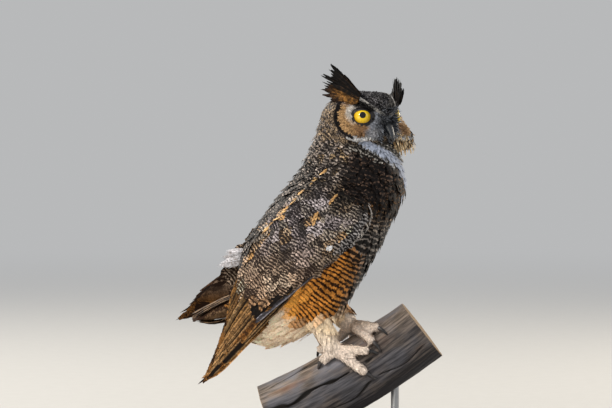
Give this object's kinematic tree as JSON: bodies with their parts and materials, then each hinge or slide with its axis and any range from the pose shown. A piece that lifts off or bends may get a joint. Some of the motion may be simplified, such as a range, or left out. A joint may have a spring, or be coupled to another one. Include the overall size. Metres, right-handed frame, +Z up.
{
  "type": "great horned owl",
  "caption": "Life-size still model of a great horned owl looking to one side, gripping a short cut limb that two short rods hold over a flat base.",
  "frame": {"origin": "middle of the stand base's underside, on the floor", "axes": "+X the way the breast faces, +Z up, -Y the owl's right side"},
  "size_m": [0.391, 0.2156, 0.6034],
  "materials": {
    "plumage": "matt layered feathers, dark brown mottled with buff and grey",
    "plume": "soft white down with a few dark spots",
    "tuft": "matt long black feathers edged with rust",
    "foot": "short cream feathering",
    "claw": "smooth dark horn",
    "bill": "smooth dark horn",
    "eye": "wet, yellow iris round a black pupil",
    "wood": "weathered grey-brown bare wood with a long split",
    "stand": "satin dark stain",
    "rod": "fine brushed"
  },
  "bodies": {
    "root": {"trunk": "plumage", "neck": "plumage", "head": "plumage", "wing_right": "plumage", "wing_left": "plumage", "primaries_right": "plumage", "primaries_left": "plumage", "tail": "plumage", "rump_plume": "plume", "ear_tuft_right": "tuft", "ear_tuft_left": "tuft", "leg_right": "foot", "leg_left": "foot", "claw_right_inner": "claw", "claw_right_middle": "claw", "claw_right_outer": "claw", "claw_right_hind": "claw", "claw_left_inner": "claw", "claw_left_middle": "claw", "claw_left_outer": "claw", "claw_left_hind": "claw", "bill_upper": "bill", "bill_lower": "bill", "eye_right": "eye", "eye_left": "eye", "perch": "wood", "stand_base": "stand", "stand_rod_left": "rod", "stand_rod_right": "rod"}
  },
  "joints": []
}
